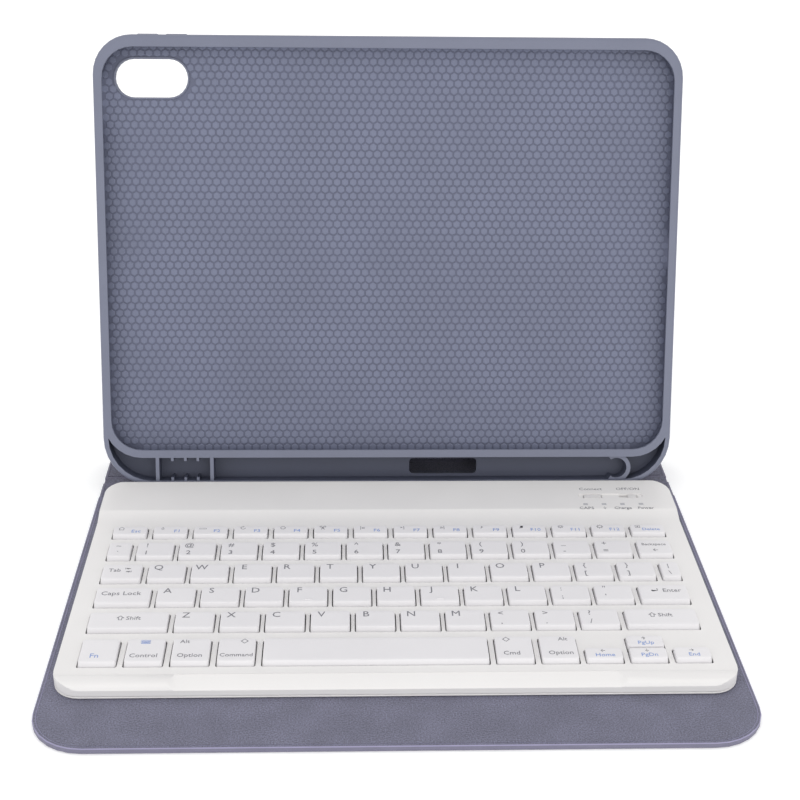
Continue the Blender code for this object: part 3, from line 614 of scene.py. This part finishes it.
GREY_INK, BLUE_PRINT, GAP_SHADE_INDEX = 1, 2, 3  # a cap's materials after its white; the last is the near-black painted shade on the web between the caps
LABELS = []  # owner, text, centre x and y, height of a capital, ink, height of the surface


def label(owner, text, x, y, height, ink=GREY_INK, top=CAP_TOP - 0.02):
    LABELS.append((owner, text, x, y, height, ink, top))


FUNCTION_ICONS = ("♁", "▭", "↻", "○", "✂", "|«", "▸|", "»|", "♪", "♫", "☼", "☀")
ROWS = {  # the lower and the upper character of each cap
    "number": ("1234567890-=", "!@#$%^&*()_+"),
    "upper": ("QWERTYUIOP[]", "          {}"),
    "home": ("ASDFGHJKL;'", "         :\""),
    "lower": ("ZXCVBNM,./", "       <>?"),
}
LETTER_X, UPPER_Y, LOWER_Y = 3.9, 2.1, 7.7  # from a cap's left and far edge
LETTER_SIZE, SIGN_SIZE = 3.3, 2.8
SINGLE = {  # text, x from the left edge, y from the far edge, height, ink (1 grey, 2 blue)
    "escape_key": (("⌂", 3.2, 1.6, 2.3, 1), ("Esc", 9.4, 3.6, 2.1, 2)),
    "delete_key": (("▣", 3.0, 1.6, 1.9, 1), ("Delete", 8.4, 3.6, 1.9, 2)),
    "grave_key": (("~", 3.9, 2.4, 2.6, 1), ("`", 3.9, 7.6, 2.6, 1)),
    "backspace_key": (("Backspace", 6.9, 3.0, 1.7, 1), ("←", 6.9, 7.4, 2.0, 1)),
    "tab_key": (("Tab", 4.8, 4.0, 2.2, 1), ("⇤", 10.0, 2.9, 1.8, 1), ("⇥", 10.4, 5.1, 1.8, 1)),
    "backslash_key": (("|", 3.2, 2.6, 2.4, 1), ("\\", 3.2, 7.6, 2.4, 1)),
    "caps_lock_key": (("Caps Lock", 9.7, 3.8, 2.5, 1),),
    "enter_key": (("↵", 6.0, 3.8, 2.4, 1), ("Enter", 13.0, 3.8, 2.3, 1)),
    "left_shift_key": (("⇧", 11.6, 3.9, 2.5, 1), ("Shift", 16.6, 3.9, 2.2, 1)),
    "right_shift_key": (("⇧", 10.4, 3.9, 2.5, 1), ("Shift", 15.4, 3.9, 2.2, 1)),
    "fn_key": (("Fn", 5.4, 10.1, 2.5, 2),),
    "control_key": (("⌨", 6.6, 1.9, 2.2, 2), ("Control", 6.6, 10.2, 2.2, 1)),
    "option_key": (("Alt", 4.2, 1.7, 2.0, 1), ("Option", 6.6, 10.2, 2.2, 1)),
    "command_key": (("◇", 9.4, 1.8, 2.1, 1), ("Command", 6.8, 10.2, 2.0, 1)),
    "space_bar": (),
    "right_command_key": (("◇", 4.2, 1.8, 2.1, 1), ("Cmd", 5.6, 10.2, 2.2, 1)),
    "right_option_key": (("Alt", 8.8, 1.7, 2.0, 1), ("Option", 7.2, 10.2, 2.2, 1)),
    "arrow_left_key": (("←", 6.4, 1.7, 1.6, 1), ("Home", 7.0, 4.3, 2.0, 2)),
    "arrow_up_key": (("↑", 6.4, 1.7, 1.6, 1), ("PgUp", 7.0, 4.3, 2.0, 2)),
    "arrow_down_key": (("↓", 6.4, 1.7, 1.6, 1), ("PgDn", 7.0, 4.3, 2.0, 2)),
    "arrow_right_key": (("→", 6.4, 1.7, 1.6, 1), ("End", 7.0, 4.3, 2.0, 2)),
}
KEY_NODES = [n for n in NODES if SLOT_OF[n] == "keycap_white"]
for node_name in KEY_NODES:
    row, _, half = node_name.partition("_keys_")
    for i, (_, (left, _, _, far)) in enumerate(cap_shapes(node_name)):
        if not half:
            for text, x, y, height, ink in SINGLE[node_name]:
                label(node_name, text, left + x, far - y, height, ink)
            continue
        if row == "function":
            number = i + (6 if half == "right" else 0)
            label(node_name, FUNCTION_ICONS[number], left + 3.6, far - 1.5, 2.0)
            label(node_name, f"F{number + 1}", left + 9.6, far - 3.6, 2.1, BLUE_PRINT)
            continue
        lower, upper = ROWS[row]
        number = i + (len(lower) // 2 if half == "right" else 0)
        if upper[number] == " ":
            label(node_name, lower[number], left + LETTER_X, far - UPPER_Y, LETTER_SIZE)
        else:
            label(node_name, upper[number], left + LETTER_X, far - UPPER_Y, SIGN_SIZE)
            label(node_name, lower[number], left + LETTER_X, far - LOWER_Y, SIGN_SIZE)

PANEL_WORDS = (  # text, centre x and y, height of a capital
    ("Connect", 89.2, CONTROL_Y + 6.0, 2.0),
    ("OFF/ON", 105.7, CONTROL_Y + 6.0, 2.0),
    ("CAPS", 85.2, LED_Y - 3.3, 1.9),
    ("♢", 93.1, LED_Y - 3.3, 1.7),
    ("Charge", 101.0, LED_Y - 3.3, 1.8),
    ("Power", 111.0, LED_Y - 3.3, 1.8),
)
for text, x, y, height in PANEL_WORDS:
    label("keyboard_panel", text, x, y, height, GREY_INK, CASE_TOP)

CAPITAL = 0.686  # a capital's height over the font size
PRINT = 0.03  # how far the ink's two faces are from its middle


def lettering():
    """Each owner's labels as one mesh: the outlines of the letters, a hair proud of the surface."""
    texts = []
    for _, text, _, _, height, _, _ in LABELS:
        curve = bpy.data.curves.new("label", "FONT")
        curve.body = text
        curve.size = height / CAPITAL * MM
        curve.extrude = PRINT * MM
        curve.resolution_u = 2
        holder = bpy.data.objects.new("label", curve)
        bpy.context.scene.collection.objects.link(holder)
        texts.append(holder)
    bpy.context.view_layer.update()
    graph = bpy.context.evaluated_depsgraph_get()
    meshes = {}
    for holder, (owner, _, x, y, height, ink, top) in zip(texts, LABELS):
        mesh = bpy.data.meshes.new_from_object(holder.evaluated_get(graph))
        xs = [vert.co.x for vert in mesh.vertices]
        middle = (min(xs) + max(xs)) / 2
        mesh.transform(Matrix.Translation((x * MM - middle, (y - height / 2) * MM, top * MM)))
        bm = meshes.setdefault(owner, bmesh.new())
        before = len(bm.faces)
        bm.from_mesh(mesh)
        bm.faces.ensure_lookup_table()
        for face in bm.faces[before:]:
            face.material_index = ink
        bpy.data.meshes.remove(mesh)
        bpy.data.objects.remove(holder)
    for bm in meshes.values():
        bmesh.ops.remove_doubles(bm, verts=bm.verts, dist=0.0005 * MM)
    return meshes


PRINTED = lettering()
HOMING = {"home_keys_left": 3, "home_keys_right": 1}  # which cap of the node has a bar to feel
HOMING_Y = 1.7  # from the cap's near edge
HOMING_RINGS = ((1.5, 0.35, -0.1), (1.5, 0.35, 0.08), (1.35, 0.2, 0.16))  # half x, half y, rise
for node_name in KEY_NODES:
    bm = PRINTED.pop(node_name, None) or bmesh.new()
    shapes = cap_shapes(node_name)
    for foot, top in shapes:
        keycap(bm, foot, top)
    low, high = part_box(node_name)
    edges = (low.x / MM, low.y / MM, high.x / MM, high.y / MM)
    # The web is painted near-black, as painted shade in the gaps between the caps.
    web = [[point * MM for point in ring(*edges, 1.2, z)] for z in (WEB_LOW, WEB_HIGH - 0.02)]
    skin(bm, web, GAP_SHADE_INDEX)
    if node_name in HOMING:
        left, near, right, _ = shapes[HOMING[node_name]][1]
        x, y = (left + right) / 2, near + HOMING_Y
        bar = []
        for half, deep, rise in HOMING_RINGS:
            outline = ring(x - half, y - deep, x + half, y + deep, deep * 0.9, CAP_TOP + rise)
            bar.append([point * MM for point in outline])
        skin(bm, bar)
    finishes = (CAP_WHITE, INK, BLUE_INK, GAP_SHADE)
    cap = piece(node_name + "_caps", bm, BODY_OF[node_name], "keycap_white", *finishes, angle=30)
    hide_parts(node_name)
piece(
    "keyboard_panel_print", PRINTED["keyboard_panel"], "keyboard", "grey_plastic",
    WHITE, INK, BLUE_INK,
)

# ---- room, light and camera -----------------------------------------------------------------

FLOOR_HALF = 6.0
FLOOR_DROP = 0.2 * MM  # under the cover, so that the two don't share a plane
floor_mesh = bpy.data.meshes.new("studio_floor")
corners = [(x * FLOOR_HALF, y * FLOOR_HALF, 0) for x, y in ((-1, -1), (1, -1), (1, 1), (-1, 1))]
floor_mesh.from_pydata(corners, [], [(0, 1, 2, 3)])
floor_mesh.materials.append(material(
    "studio_floor", (0.97, 0.97, 0.97), 0.9, 0.01, 400.0,
    Emission_Color=(1, 1, 1, 1), Emission_Strength=0.16,
))
ground = bpy.data.objects.new("studio_floor", floor_mesh)
ground.location.z = -FLOOR_DROP
bpy.context.scene.collection.objects.link(ground)

world = bpy.data.worlds.new("studio")
world.use_nodes = True
world.node_tree.nodes["Background"].inputs["Color"].default_value = (1, 1, 1, 1)
world.node_tree.nodes["Background"].inputs["Strength"].default_value = 1.06
bpy.context.scene.world = world
bpy.context.scene.view_settings.view_transform = "Standard"


def softbox(name, place, target, size, power):
    lamp = bpy.data.lights.new(name, "AREA")
    lamp.shape = "SQUARE"
    lamp.size = size
    lamp.energy = power
    made = bpy.data.objects.new(name, lamp)
    made.location = place
    made.rotation_euler = (Vector(target) - Vector(place)).to_track_quat("-Z", "Y").to_euler()
    bpy.context.scene.collection.objects.link(made)


softbox("key_light", (-0.7, -0.9, 0.9), (0, 0.02, 0.05), 0.9, 1.0)
softbox("front_light", (0.3, -1.4, 0.35), (0, 0.05, 0.03), 1.0, 3.2)

# The camera looks along +Y, turned a little to the right and down, its right side a little up.
CAMERA_AT = Vector((-0.0181, -0.4967, 0.3284))
PITCH, YAW, ROLL = math.radians(26.05), math.radians(2.266), math.radians(0.933)
lens = bpy.data.cameras.new("camera")
lens.lens = 65.79
lens.sensor_width = 36.0
camera = bpy.data.objects.new("camera", lens)
ahead = Vector((math.sin(YAW) * math.cos(PITCH), math.cos(YAW) * math.cos(PITCH), -math.sin(PITCH)))
level = Vector((math.cos(YAW), -math.sin(YAW), 0))
upright = level.cross(ahead)
right = level * math.cos(ROLL) + upright * math.sin(ROLL)
above = upright * math.cos(ROLL) - level * math.sin(ROLL)
camera.matrix_world = Matrix((
    (right.x, above.x, -ahead.x, CAMERA_AT.x),
    (right.y, above.y, -ahead.y, CAMERA_AT.y),
    (right.z, above.z, -ahead.z, CAMERA_AT.z),
    (0, 0, 0, 1),
))
bpy.context.scene.collection.objects.link(camera)
bpy.context.scene.camera = camera
